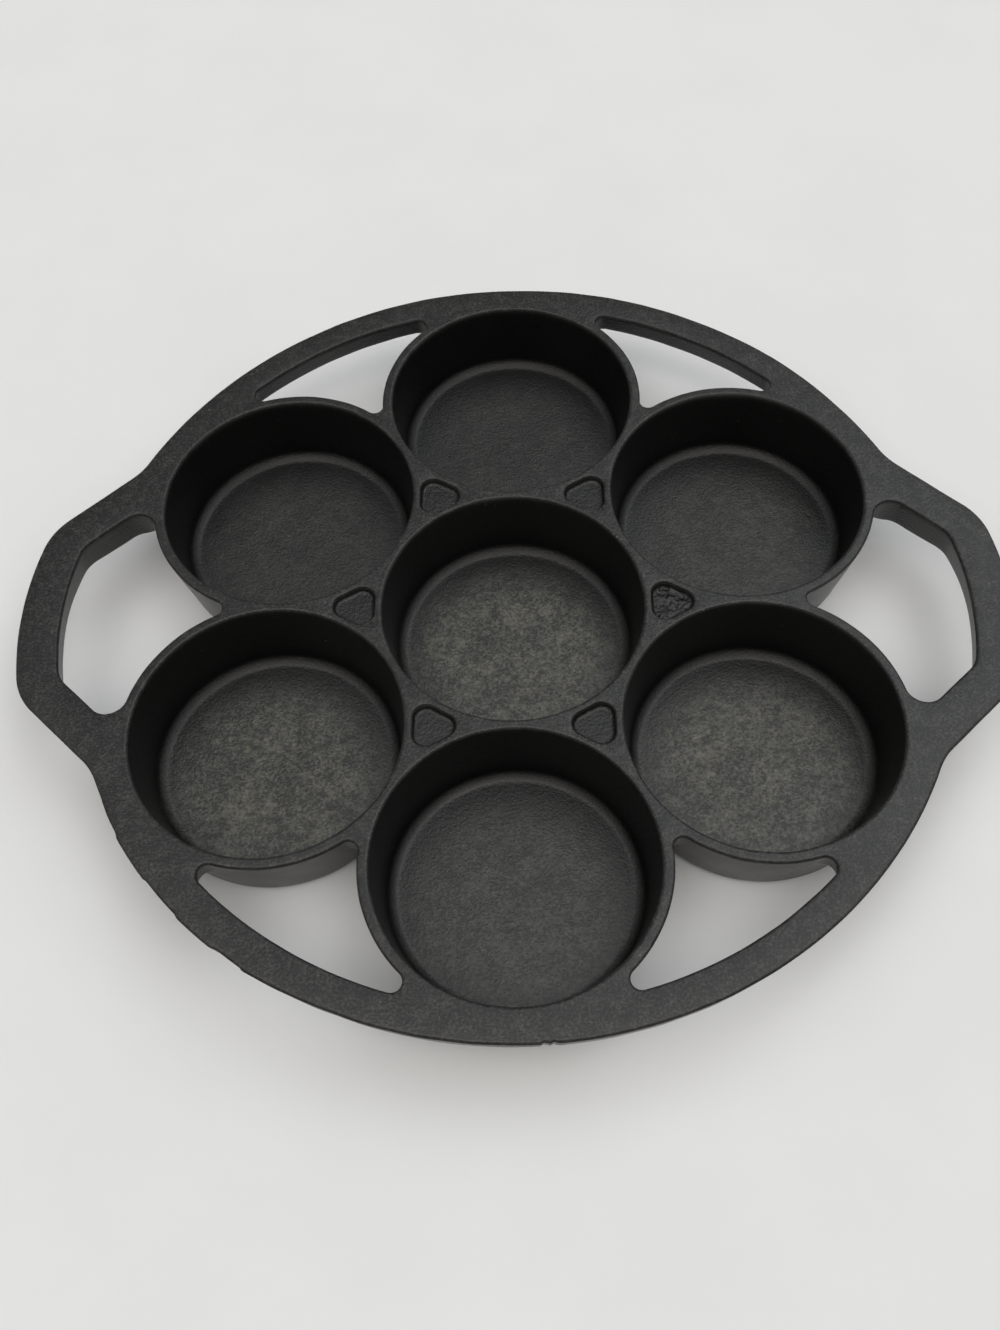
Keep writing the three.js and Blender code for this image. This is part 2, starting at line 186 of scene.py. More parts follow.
def closed(outline):
    """One point where two arcs meet, and points added along straight stretches, about ARC_STEP apart."""
    keep = np.abs(outline.at - np.roll(outline.at, -1)) > SAME_PLACE
    here = Outline(*(part[keep] for part in outline))
    there = Outline(*(np.roll(part, -1) for part in here))
    pieces = np.maximum(1, np.round(np.abs(there.at - here.at) / ARC_STEP)).astype(int)
    first = np.repeat(np.arange(len(pieces)), pieces)
    share = (np.arange(len(first)) - np.repeat(np.cumsum(pieces) - pieces, pieces)) / pieces[first]
    return Outline(*(a[first] + share * (b[first] - a[first]) for a, b in zip(here, there)))


# %% [markdown]
# ## Where arcs touch
#
# A fillet's centre is found by moving both of its neighbours aside by its radius and seeing where
# they cross: two circles for the corner between a lip and the ring, a circle and a line for the corner
# between a handle's straight flank and a lip.

# %% Fillet centres
def meet(a, from_a, b, from_b):
    """The point at distance from_a from a and from_b from b, on the left of the way from a to b."""
    gap = abs(b - a)
    along = (gap**2 + from_a**2 - from_b**2) / (2 * gap)
    return a + (b - a) / gap * (along + 1j * math.sqrt(from_a**2 - along**2))


def beside_line(normal, offset, a, reach):
    """The point at distance reach from a on the line at offset along normal, on its clockwise side."""
    beyond = offset - (a * np.conj(ray(normal))).real
    return a + ray(normal) * (beyond - 1j * math.sqrt(reach**2 - beyond**2))


cup_centre = CUP_PITCH * ray(SIXTH / 2)
notch_centre = cup_centre.real + math.sqrt((LIP_RADIUS + NOTCH_RADIUS) ** 2 - cup_centre.imag**2) + 0j
flank_normal = 90 - FLANK_LEAN
flank_offset = ((HANDLE_REACH + 0.5j * GRIP_SPAN) * np.conj(ray(flank_normal))).real
grip_centre = HANDLE_REACH - GRIP_BOW + 0j
corner_centre = beside_line(
    flank_normal, flank_offset - HANDLE_CORNER, grip_centre, GRIP_BOW - HANDLE_CORNER
)
corner_heading = heading(grip_centre, corner_centre)
neck_centre = beside_line(flank_normal, flank_offset + HANDLE_NECK, 0j, RIM_RADIUS + HANDLE_NECK)
neck_heading = heading(0j, neck_centre)
print("notch between two lips at", round((notch_centre.real - NOTCH_RADIUS) / MM, 1), "mm from the axis")

# %% [markdown]
# ## The outside, the windows and the eyes of the handles
#
# The plan repeats by mirrors, so only a quarter of the outside and half of a window or an eye is
# drawn. The bottom edge of the ring and handles is rounded for the hand, and that rounding fades out
# (under goes to 0) along the lips, where the plate runs straight on into the wall of a cup.

# %% Outlines of the plate
def plate_outline():
    """The outside: bowed grip, round corner, straight flank, hollow neck, ring."""
    quarter = chain(
        arc(grip_centre, GRIP_BOW, 0, corner_heading, True),
        arc(corner_centre, HANDLE_CORNER, corner_heading, flank_normal, True),
        arc(neck_centre, HANDLE_NECK, flank_normal + 180, neck_heading + 180, False),
        arc(0j, RIM_RADIUS, neck_heading, 90, True),
    )
    return closed(with_reflection(with_reflection(quarter, in_y), in_x))


def reversed_walk(outline):
    """The same outline walked the other way, which puts the metal round an opening on the left."""
    return Outline(*(part[::-1] for part in outline))


def lip_side(corner):
    """From an opening's corner, along the outside of a lip, into the notch between two lips."""
    start, end = heading(cup_centre, corner), heading(cup_centre, notch_centre)
    return chain(
        arc(cup_centre, LIP_RADIUS, start, end, True, under=(0, 0)),
        arc(notch_centre, NOTCH_RADIUS, heading(notch_centre, cup_centre), 180, False, under=(0, 0)),
    )


def window_outline():
    """An opening between the ring and two cups, drawn about the +X axis."""
    corner = meet(cup_centre, LIP_RADIUS + WINDOW_CORNER, 0j, RIM_INNER_RADIUS - WINDOW_CORNER)
    outward, to_cup = heading(0j, corner), heading(corner, cup_centre)
    half = chain(
        arc(0j, RIM_INNER_RADIUS, 0, outward, False),
        arc(corner, WINDOW_CORNER, outward, to_cup, False, under=(1, 0)),
        lip_side(corner),
    )
    return reversed_walk(closed(with_reflection(half, in_x)))


def eye_outline():
    """The finger opening of a handle, drawn about the +X axis."""
    corner = beside_line(
        flank_normal, flank_offset - HANDLE_BAR - EYE_CORNER, cup_centre, LIP_RADIUS + EYE_CORNER
    )
    to_cup = heading(corner, cup_centre)
    half = chain(
        arc(grip_centre, GRIP_BOW - HANDLE_BAR, 0, corner_heading, False),
        arc(corner_centre, HANDLE_CORNER - HANDLE_BAR, corner_heading, flank_normal, False),
        arc(corner, EYE_CORNER, flank_normal, to_cup, False, under=(1, 0)),
        lip_side(corner),
    )
    return reversed_walk(closed(with_reflection(half, in_x)))


WINDOW_HEADINGS = (60, 120, 240, 300)
EYE_HEADINGS = (0, 180)
outside = plate_outline()
openings = [turned(window_outline(), way) for way in WINDOW_HEADINGS]
openings += [turned(eye_outline(), way) for way in EYE_HEADINGS]
print("outside has", len(outside.at), "points; openings have", [len(o.at) for o in openings])

# %% [markdown]
# ## A torn edge
#
# Where the two halves of the mould met, thin iron ran out and was broken off by hand. At the front
# left of the ring a ragged strip of it is left, and the front of the ring has two small nicks. They are
# drawn as a distance outward against the heading round the pan.

# %% Flash left on the ring
FLASH_HEADINGS = (208, 211, 213.6, 214.2, 220.6, 221.1, 226.6, 227.2)
FLASH_HEADINGS += (232.8, 233.4, 237, 237.5, 240, 243, 249)
FLASH_REACHES = (0, 0.5, 0.7, 1.2, 1.3, 0.9, 1.0, 1.4, 1.3, 0.7, 0.8, 1.2, 0.9, 0.5, 0)
NICK_HEADINGS = (272.6, 273.0, 273.3, 273.7, 274.0, 274.3, 274.6)
NICK_REACHES = (0, -0.5, -0.4, 0, -0.5, -0.5, 0)


def torn(outline):
    """The outline moved along its ways out by the reach, in mm, at each heading, in degrees."""
    way = np.degrees(np.angle(outline.at)) % 360
    reach = np.interp(way, FLASH_HEADINGS, FLASH_REACHES) + np.interp(way, NICK_HEADINGS, NICK_REACHES)
    return outline._replace(at=outline.at + reach * MM * outline.out)


outside = torn(outside)
print("flash stands out up to", max(FLASH_REACHES), "mm, nicks go in up to", -min(NICK_REACHES), "mm")

# %% [markdown]
# ## From arrays to meshes
#
# A surface that is a grid of points only needs the corner numbers of its quads, and those follow from
# row and column numbers. Points that fall together, such as a pole or an edge that fades out, are
# merged afterwards. Nothing on a casting is perfectly true, so every point is also moved a little by a
# sum of long, low waves. The waves depend only on where a point is, so pieces that touch still touch.
# They fade out towards the base, which stands flat on the table.

# %% Grids, meshes and unevenness
SHARP_EDGE = math.radians(38)
ONE_POINT = SAME_PLACE / 10
SEED = 11
WAVE_COUNT = 36
WAVE_LENGTHS = (9 * MM, 80 * MM)
UNEVENNESS = 0.05 * MM

rng = np.random.default_rng(SEED)
wave_lengths = np.geomspace(*WAVE_LENGTHS, WAVE_COUNT)
wave_ways = rng.normal(size=(WAVE_COUNT, 3))
wave_ways *= (2 * np.pi / wave_lengths / np.linalg.norm(wave_ways, axis=1))[:, None]
wave_starts = rng.uniform(0, 2 * np.pi, WAVE_COUNT)
wave_moves = rng.normal(size=(WAVE_COUNT, 3)) * np.sqrt(wave_lengths / wave_lengths.mean())[:, None]
wave_moves *= UNEVENNESS * math.sqrt(2 / WAVE_COUNT)


def uneven(points):
    """points + the sum over all waves of move * sin(way . point + start), fading out towards the base."""
    share = np.clip(points[:, 2:] / FOOT_FILLET, 0, 1)
    return points + share * (np.sin(points @ wave_ways.T + wave_starts) @ wave_moves)


def grid_quads(rows, columns, first=0):
    """Corners of the quads of a grid whose last column joins its first."""
    row, column = np.mgrid[0 : rows - 1, 0:columns]
    after = (column + 1) % columns
    corners = (row * columns + column, (row + 1) * columns + column)
    corners += ((row + 1) * columns + after, row * columns + after)
    return first + np.stack(corners, axis=-1).reshape(-1, 4)


def new_piece(name, points, faces, shades):
    """A closed, smooth mesh at the origin; shades are values per point that the finish reads."""
    mesh = bpy.data.meshes.new(name)
    mesh.from_pydata(uneven(points), [], faces)
    for shade, values in shades.items():
        mesh.attributes.new(shade, "FLOAT", "POINT").data.foreach_set("value", values.astype(np.float32))
    shell = bmesh.new()
    shell.from_mesh(mesh)
    bmesh.ops.remove_doubles(shell, verts=shell.verts, dist=ONE_POINT)
    open_edges = sum(not edge.is_manifold for edge in shell.edges)
    shell.to_mesh(mesh)
    shell.free()
    mesh.shade_smooth()
    mesh.set_sharp_from_angle(angle=SHARP_EDGE)
    piece = bpy.data.objects.new(name, mesh)
    bpy.context.scene.collection.objects.link(piece)
    print(name, len(mesh.vertices), "points,", len(mesh.polygons), "faces,", open_edges, "open edges")
    return piece


# %% [markdown]
# ## A cup
#
# On the real pan a cup is a tapered bowl: flat floor, round fillet, leaning wall, rounded lip, and the
# same again outside. It could be cut out of a cylinder, but a bowl is round, so a profile turned about
# the cup's axis gives all of it at once. A profile is a list of radius and height, drawn from the middle
# of the floor over the lip to the middle of the base.

# %% The cup's profile
CUP_COLUMNS = 360
FLOOR_ROWS, FILLET_ROWS, WALL_ROWS, LIP_ROWS = 26, 12, 10, 7
CONE_ROWS, BASE_ROWS = 16, 8


def corner_start(radius, lean):
    """How far along each side a fillet starts where a leaning wall meets a level face."""
    return radius / math.tan(math.pi / 4 + math.atan(lean) / 2)


def round_corner(x, z, radius, start, end, count):
    """Points of a fillet in a profile: (x, z) + radius * (cos, sin)."""
    angle = np.radians(np.linspace(start, end, count))
    return np.stack([x + radius * np.cos(angle), z + radius * np.sin(angle)], axis=1)


DRAFT = math.degrees(math.atan(LEAN))
BOWL_DRAFT = math.degrees(math.atan(BOWL_LEAN))
CUP_DEPTH = TOP - CUP_FLOOR
floor_radius = CUP_MOUTH_RADIUS - BOWL_LEAN * CUP_DEPTH - corner_start(FLOOR_FILLET, BOWL_LEAN)
seam_radius = CUP_MOUTH_RADIUS + corner_start(EDGE_ROUND, BOWL_LEAN)
neck_radius = LIP_RADIUS - LEAN * (TOP - EDGE_ROUND - PLATE_BOTTOM)
foot_radius = neck_radius - LEAN * PLATE_BOTTOM - corner_start(FOOT_FILLET, LEAN)


def level(start, end, count, z):
    """Points of a level stretch of a profile."""
    return np.stack([np.linspace(start, end, count), np.full(count, z)], axis=1)


def inside_profile():
    """From the middle of the floor, up the wall and over the lip to the seam with the plate."""
    middle = CUP_FLOOR + FLOOR_FILLET
    fillet = round_corner(floor_radius, middle, FLOOR_FILLET, -90, -BOWL_DRAFT, FILLET_ROWS)
    lip = round_corner(seam_radius, TOP - EDGE_ROUND, EDGE_ROUND, 180 - BOWL_DRAFT, 90, LIP_ROWS)
    wall = np.linspace(fillet[-1], lip[0], WALL_ROWS)
    floor = level(0, floor_radius, FLOOR_ROWS, CUP_FLOOR)
    return np.concatenate([floor[:-1], fillet[:-1], wall[:-1], lip])


def outside_profile():
    """Under the plate: down the outer wall, round the foot, to the middle of the base."""
    foot = round_corner(foot_radius, FOOT_FILLET, FOOT_FILLET, -DRAFT, -90, FILLET_ROWS)
    wall = np.linspace((neck_radius, PLATE_BOTTOM), foot[0], CONE_ROWS)
    return np.concatenate([wall[:-1], foot[:-1], level(foot_radius, 0, BASE_ROWS, 0)])


print("cup floor", round(2 * floor_radius / MM, 1), "mm across, base", round(2 * foot_radius / MM, 1), "mm")

# %% [markdown]
# ## Where two cups touch
#
# Neighbours stand so close that their outer walls run into each other just under the plate. Two whole
# bowls could overlap there, but then faces would hide inside the metal. Instead the turned radius gives
# way to the plane half-way between the two axes, with a small fillet in the valley, so each cup ends
# exactly where the next begins.

# %% Walls that run into their neighbours
VALLEY_FILLET = 1.6 * MM
HALF_PITCH = CUP_PITCH / 2
FAR_ASIDE = math.radians(45)


def valley(radius, aside):
    """The radius at an angle aside of the way to a neighbour: plane, fillet, then the turned wall."""
    fillet = VALLEY_FILLET * np.clip((radius - HALF_PITCH) / (neck_radius - HALF_PITCH), 0, 1)
    height = np.sqrt(np.maximum((radius + fillet) ** 2 - HALF_PITCH**2, 0))
    touching = radius > HALF_PITCH
    plane = HALF_PITCH / np.cos(np.minimum(aside, FAR_ASIDE))
    along = HALF_PITCH * np.cos(aside) + height * np.sin(aside)
    rest = along**2 - (HALF_PITCH**2 + height**2 - fillet**2)
    hollow = along - np.sqrt(np.maximum(rest, 0))
    on_plane = touching & (aside < np.arctan2(height - fillet, HALF_PITCH))
    in_fillet = touching & ~on_plane & (aside < np.arctan2(height, HALF_PITCH))
    return np.where(on_plane, plane, np.where(in_fillet, hollow, radius))


def angle_aside(angle, ways):
    """The angle between each direction and the nearest of some ways, in radians."""
    gaps = np.angle(np.exp(1j * (angle[:, None] - np.radians(ways)[None, :])))
    return np.abs(gaps).min(axis=1)


print("two cups overlap by", round(2 * (neck_radius - HALF_PITCH) / MM, 2), "mm under the plate")

# %% [markdown]
# ## What a cup's points carry
#
# The finish has to know where on the cup it is: the middle of a floor is crusted, a ring round it is
# smoother, the corner between floor and wall is dull, and the lip is rubbed. A picture could be painted
# for that, but a value per point follows the shape by itself. The crust is kept off the edge of each
# floor and moved a little to the front, so the floor is black round its edge and most of all along the
# far wall: partly bare iron, partly painted shade of the far wall. Every cup has its own share of crust.

# %% Crust, sand, corner and top
CRUST_SPREAD = 0.62
# How far the crust is moved to the front of a floor, in floor radii; the black it leaves along the far wall
# is painted shade.
FAR_WALL_SHADE_SHIFT = 0.2
SMOOTH_RING = 0.7
CORNER_RISE, CORNER_FALL = (0, 0.1), (0.25, 0.65)


def smooth(value, low, high):
    """0 up to low, 1 from high on, and 3 t^2 - 2 t^3 between, t being the share of the way."""
    share = np.clip((value - low) / (high - low), 0, 1)
    return share * share * (3 - 2 * share)


def rubbed_top(height):
    """1 on the top face, falling evenly to 0 where the round of its edge ends."""
    return np.clip((height - TOP + EDGE_ROUND) / EDGE_ROUND, 0, 1)


def cup_shades(aside, height, inside, crust):
    """Values from the place beside the axis, in floor radii, and the height; all are 0 outside the bowl."""
    low = inside * (1 - smooth(height, CUP_FLOOR + FLOOR_FILLET / 2, CUP_FLOOR + 2 * FLOOR_FILLET))
    # Crust is kept off the floor's edge and moved to the front: the black left there is bare iron and,
    # along the far wall, painted shade.
    bare_and_shaded = smooth(np.abs(aside + 1j * FAR_WALL_SHADE_SHIFT), CRUST_SPREAD, 1 + FAR_WALL_SHADE_SHIFT)
    over_floor = (height - CUP_FLOOR) / FLOOR_FILLET
    shades = {
        "floor": crust * low * (1 - bare_and_shaded),
        "sandy": low * (1 - SMOOTH_RING * smooth(np.abs(aside), CRUST_SPREAD, 1)),
        "corner": inside * smooth(over_floor, *CORNER_RISE) * (1 - smooth(over_floor, *CORNER_FALL)),
        "top": inside * rubbed_top(height),
    }
    return {name: values.ravel() for name, values in shades.items()}


# %% [markdown]
# ## Seven cups
#
# Turning the profile through all angles gives a grid, with a row for each point of the profile and a
# column for each angle. Blender's Spin would do it too, but an array lets the outer wall look at the
# neighbours. The centre cup has six of them, an outer cup three.

# %% Make the cups
cup_angles = np.radians(np.arange(CUP_COLUMNS) * 360 / CUP_COLUMNS)


def make_cup(name, centre, neighbours, crust):
    """Profile rows turned through all angles; only the outer wall looks at the neighbours."""
    inner, outer = inside_profile(), outside_profile()
    collar = np.array([(seam_radius, PLATE_BOTTOM)])
    profile = np.concatenate([inner, collar, outer])
    radius = np.repeat(profile[:, :1], CUP_COLUMNS, axis=1)
    wall = slice(len(inner) + 1, None)
    radius[wall] = valley(radius[wall], angle_aside(cup_angles, neighbours)[None, :])
    plan = centre + radius * np.exp(1j * cup_angles)
    height = np.broadcast_to(profile[:, 1:], plan.shape)
    points = np.stack([plan.real, plan.imag, height], axis=-1).reshape(-1, 3)
    inside = (np.arange(len(profile)) < len(inner))[:, None]
    shades = cup_shades((plan - centre) / floor_radius, height, inside, crust)
    return new_piece(name, points, grid_quads(len(profile), CUP_COLUMNS), shades)


OUTER_CRUSTS = {
    "back_right_cup": 0.36,
    "back_cup": 0.2,
    "back_left_cup": 0.24,
    "front_left_cup": 0.95,
    "front_cup": 0.46,
    "front_right_cup": 1,
}
cup_ways = [SIXTH / 2 + k * SIXTH for k in range(len(OUTER_CRUSTS))]
cups = {"centre_cup": make_cup("iron_centre_cup", 0j, cup_ways, crust=1)}
for (node, crust), way in zip(OUTER_CRUSTS.items(), cup_ways):
    neighbours = [way + turn * SIXTH for turn in (2, 3, 4)]
    cups[node] = make_cup("iron_" + node, CUP_PITCH * ray(way), neighbours, crust)

# %% [markdown]
# ## The plate
#
# The ring is thin, but a handle's flanks are deep where the weight hangs on them, and the middle of the
# grip is arched from below to give the fingers room. So the underside is a height over the plan: level,
# sinking as a flank leaves lip and ring, rising again under the grip.

# %% The underside
HANDLE_ZONE = 0.8


def underside(plan):
    """PLATE_BOTTOM, and under a handle as much lower as its bar is deeper than the plate."""
    place = np.abs(plan.real) + 1j * np.abs(plan.imag)
    off_lip = smooth(np.abs(place - cup_centre) - LIP_RADIUS, 0, ROOT_RUN)
    off_ring = 1 - smooth(np.degrees(np.angle(place)), ROOT_HEADING, neck_heading)
    outer = np.abs(plan) > HANDLE_ZONE * RIM_RADIUS
    grip_bottom = TOP - GRIP_THICKNESS
    bar_bottom = grip_bottom + (FLANK_BOTTOM - grip_bottom) * smooth(place.imag, 0, ARCH_SPAN / 2)
    return PLATE_BOTTOM + outer * off_lip * off_ring * (bar_bottom - PLATE_BOTTOM)


plate_depth, flank_depth = (round((TOP - low) / MM, 1) for low in (PLATE_BOTTOM, FLANK_BOTTOM))
print("plate", plate_depth, "mm thick, flanks", flank_depth, "mm")

# %% [markdown]
# ## Edges
#
# Every edge of the plate has the same section: a small round from the top face, a leaning wall, a
# round into the underside. That section is carried along each outline, as rows of insets into the
# metal. Rows of a band run from the top face down, so the first row borders the top face and the last
# row borders the underside.

# %% Edges carried along an outline
EDGE_ROWS, SIDE_ROWS = 6, 6


def edge_rows(outline):
    """Insets and heights of the rows: quarter circle, leaning wall, quarter circle."""
    turn = np.radians(np.linspace(90, 0, EDGE_ROWS))[:, None]
    wall_top = TOP - EDGE_ROUND
    top_inset = EDGE_ROUND * (1 - np.cos(turn)) + 0 * outline.under
    top_height = wall_top + EDGE_ROUND * np.sin(turn) + 0 * outline.under
    radius = UNDER_ROUND * outline.under
    low_height = underside(outline.at) + radius * (1 - np.cos(turn))
    low_inset = LEAN * (wall_top - low_height) + radius * (1 - np.sin(turn))
    share = np.linspace(0, 1, SIDE_ROWS + 1)[1:-1, None]
    side_height = wall_top + share * (low_height[0] - wall_top)
    side_inset = LEAN * (wall_top - side_height)
    return np.vstack([top_inset, side_inset, low_inset]), np.vstack([top_height, side_height, low_height])


def carried(outline, inset, height):
    """Points of a band: each row is the outline moved into the metal by its inset, at its height."""
    plan = outline.at - inset * outline.out
    return np.stack([plan.real, plan.imag, height], axis=-1)


through_bands = [carried(outline, *edge_rows(outline)) for outline in [outside, *openings]]
print("edge bands of", [band.shape[0] * band.shape[1] for band in through_bands], "points")

# %% [markdown]
# ## Holes for the cups
#
# Plate and cup are one metal. The cut between the two meshes is put where nobody can see it: straight
# down from the line where the lip's round meets the flat top. The plate's hole has exactly the points
# of the cup's seam, so the two surfaces meet without a step.

# %% Hole walls
cup_centres = [0j] + [CUP_PITCH * ray(way) for way in cup_ways]
heights = np.array([[TOP], [PLATE_BOTTOM]]) + 0 * cup_angles
for centre in cup_centres:
    plan = centre + seam_radius * np.exp(1j * cup_angles[::-1]) + 0 * heights
    through_bands.append(np.stack([plan.real, plan.imag, heights], axis=-1))
print(len(cup_centres), "holes of", round(2 * seam_radius / MM, 1), "mm")

# %% [markdown]
# ## Pockets
#
# Between the centre cup and each pair of outer cups the plate has a shallow three-sided pocket with a
# rough floor. Its wall is a section carried along a rounded triangle. Its floor shrinks the same
# triangle to the middle, ring by ring, and small bumps from a sum of short waves roughen it. The sand
# of one pocket was poorer than the rest, and its floor came out lumpy.

# %% Pocket walls and floors
POCKET_GAP = 2.15 * MM
POCKET_CORNER = 4.3 * MM
POCKET_DEPTH = 2.5 * MM
POCKET_LEAN = math.tan(math.radians(15))
POCKET_ROUND = 0.5 * MM
POCKET_FILLET = 0.9 * MM
POCKET_STEP = 0.4 * MM
POCKET_ROWS, POCKET_RINGS = 5, 14
BUMP_COUNT, BUMP_LENGTH = 60, 3.8 * MM
POCKET_BUMP = 0.025 * MM
LUMPY_BUMP = 0.17 * MM
LUMPY_WEB = "right_web"
WEBS = ("right_web", "back_right_web", "back_left_web", "left_web", "front_left_web", "front_right_web")

pocket_distance = CUP_PITCH / math.sqrt(3)
pocket_inradius = pocket_distance - CUP_MOUTH_RADIUS - POCKET_GAP
bump_ways = rng.normal(size=(BUMP_COUNT, 3)) * (2 * np.pi / BUMP_LENGTH)
bump_starts = rng.uniform(0, 2 * np.pi, BUMP_COUNT)


def pocket_outline(way):
    """A triangle with round corners, one of them pointing away from the pan's axis."""
    middle = pocket_distance * ray(way)
    spread = 2 * (pocket_inradius - POCKET_CORNER)
    corners = []
    for turn in (way, way + 120, way + 240):
        centre = middle + spread * ray(turn)
        corners.append(arc(centre, POCKET_CORNER, turn - 60, turn + 60, False, step=POCKET_STEP))
    return reversed_walk(closed(chain(*corners)))


def bumpy(points):
    """The sum of many short waves, scaled so that its usual size is 1."""
    waves = np.sin(points @ bump_ways.T + bump_starts)
    return waves.sum(axis=-1) * math.sqrt(2 / BUMP_COUNT)


def pocket_band(node, way):
    """Top round, leaning wall, fillet, then rings of the floor that shrink to its middle."""
    outline = pocket_outline(way)
    turn = np.radians(np.linspace(90, 0, POCKET_ROWS))
    wall_top, floor = TOP - POCKET_ROUND, TOP - POCKET_DEPTH
    top = np.stack([POCKET_ROUND * (1 - np.cos(turn)), wall_top + POCKET_ROUND * np.sin(turn)], axis=1)
    fillet_height = floor + POCKET_FILLET * (1 - np.cos(turn))
    fillet_inset = -POCKET_LEAN * (wall_top - fillet_height) - POCKET_FILLET * (1 - np.sin(turn))
    rows = np.concatenate([top, np.stack([fillet_inset, fillet_height], axis=1)])
    wall = carried(outline, rows[:, :1] + 0 * outline.under, rows[:, 1:] + 0 * outline.under)
    middle = wall[-1].mean(axis=0)
    shrink = np.linspace(1, 0, POCKET_RINGS)[1:, None, None]
    band = np.concatenate([wall, middle + shrink * (wall[-1] - middle)])
    size = LUMPY_BUMP if node == LUMPY_WEB else POCKET_BUMP
    sunk = np.clip((TOP - POCKET_ROUND - band[..., 2]) / (POCKET_DEPTH - POCKET_ROUND), 0, 1)
    band[..., 2] += size * sunk * bumpy(band)
    return band


pocket_bands = [pocket_band(node, SIXTH * k) for k, node in enumerate(WEBS)]
print("pockets", round(2 * pocket_inradius / MM, 1), "mm across,", len(pocket_bands), "of them")

# %% [markdown]
# ## The flat faces
#
# The top face and the underside are what lies between the outlines. A constrained Delaunay
# triangulation fills them: it keeps every edge of the outlines, and loose points spread over the face
# in a honeycomb keep the triangles well shaped. A loose point that would crowd an outline is left out.

# %% Fill between outlines
HONEYCOMB = 1.9 * MM
WHOLE_HULL = 0
NEARNESS = 1e-9
ODD_BATCHES = 60
CELL_ROW = 10000


def cell_numbers(places, low, spacing):
    """The number of the square cell that each place is in."""
    return np.floor((places - low) / spacing).astype(int) @ (1, CELL_ROW)


def honeycomb(plan, spacing):
    """Points in rows, every other row moved half a step, clear of the cells that the outlines pass."""
    low, high = plan.min(axis=0), plan.max(axis=0)
    row, column = np.mgrid[0 : (high - low)[1] / spacing, 0 : (high - low)[0] / spacing]
    loose = np.stack([column + row % 2 / 2, row], axis=-1).reshape(-1, 2) * spacing + low
    around = np.stack(np.mgrid[-1:2, -1:2], axis=-1).reshape(-1, 2)
    passed = (cell_numbers(plan, low, spacing)[:, None] + around @ (1, CELL_ROW)).ravel()
    return loose[~np.isin(cell_numbers(loose, low, spacing), passed)]


def in_metal(places, starts, ends):
    """True where a ray along +X from the place crosses the outlines an odd number of times."""
    x, y = places[:, :1], places[:, 1:]
    crosses = (starts[:, 1] > y) != (ends[:, 1] > y)
    side = (ends - starts)[:, 0] * (y - starts[:, 1]) - (ends - starts)[:, 1] * (x - starts[:, 0])
    to_the_right = (side > 0) == (ends[:, 1] > starts[:, 1])
    return (crosses & to_the_right).sum(axis=1) % 2 == 1


def ring_edges(rings):
    """Pairs of point numbers: each point of a ring with the next, and its last with its first."""
    sizes = [len(ring) for ring in rings]
    starts = np.cumsum([0, *sizes[:-1]])
    after = [start + np.roll(np.arange(size), -1) for start, size in zip(starts, sizes)]
    return np.stack([np.arange(sum(sizes)), np.concatenate(after)], axis=1)


def fill(rings, height, spacing):
    """Points and upward triangles of the face between the rings; height gives loose points their z."""
    border = np.concatenate(rings)
    plan = border[:, :2]
    edges = ring_edges(rings)
    loose = honeycomb(plan, spacing)
    loose = np.column_stack([loose, height(loose @ (1, 1j))])
    places = np.concatenate([border, loose])
    given = [Vector(place[:2]) for place in places]
    _, _, faces, origins, _, _ = delaunay_2d_cdt(given, edges.tolist(), [], WHOLE_HULL, NEARNESS)
    triangles = np.array([origin[0] for origin in origins])[np.array(faces)]
    middles = places[triangles][..., :2].mean(axis=1)
    kept = [in_metal(batch, *plan[edges.T]) for batch in np.array_split(middles, ODD_BATCHES)]
    used, corners = np.unique(triangles[np.concatenate(kept)], return_inverse=True)
    return places[used], corners.reshape(-1, 3)


# %% [markdown]
# ## The plate in one mesh
#
# The edges, the hole walls, the pockets and the two faces share their border points, so they can simply
# be laid into one list, and merging the doubles closes the shell. The plate stays one piece, because ring,
# webs and handles are one run of metal and a cut across it would show.

# %% Assemble the plate
def top_face(plan):
    """The level top: TOP for every place."""
    return np.full(plan.shape, TOP)


def make_plate():
    """All bands, then the top face and the underside filled between their first and their last rows."""
    top, top_triangles = fill([band[0] for band in [*through_bands, *pocket_bands]], top_face, HONEYCOMB)
    low, low_triangles = fill([band[-1] for band in through_bands], underside, 2 * HONEYCOMB)
    points, faces = [top, low], [*top_triangles.tolist(), *(low_triangles[:, ::-1] + len(top)).tolist()]
    first = len(top) + len(low)
    for band in [*through_bands, *pocket_bands]:
        points.append(band.reshape(-1, 3))
        faces += grid_quads(*band.shape[:2], first).tolist()
        first += len(points[-1])
    points = np.concatenate(points)
    top = rubbed_top(points[:, 2])
    shades = {"floor": 0 * top, "sandy": 1 - top, "corner": 0 * top, "top": top}
    return new_piece("iron_plate", points, faces, shades)


plate = make_plate()

# %% [markdown]
# ## A few nodes with plain names
#
# A finish is a tree of nodes. Made one by one, its links soon hide what it says, so each kind of node gets
# a small function that makes it, links it and hands on its result. Then a finish reads like a recipe.

# %% Material helpers
COLOUR_SOCKETS, COLOUR_RESULT = (6, 7), 2


def new_material(name):
    """A material with one shader; gives it, its node tree, the shader and the object coordinates."""
    material = bpy.data.materials.new(name)
    material.use_nodes = True
    tree = material.node_tree
    where = tree.nodes.new("ShaderNodeTexCoord").outputs["Object"]
    return material, tree, tree.nodes["Principled BSDF"], where


def noise(tree, where, size, detail=4.0, rough=0.6):
    """Noise with features of about the given size."""
    texture = tree.nodes.new("ShaderNodeTexNoise")
    texture.inputs["Scale"].default_value = 1 / size
    texture.inputs["Detail"].default_value = detail
    texture.inputs["Roughness"].default_value = rough
    tree.links.new(where, texture.inputs["Vector"])
    return texture.outputs["Fac"]


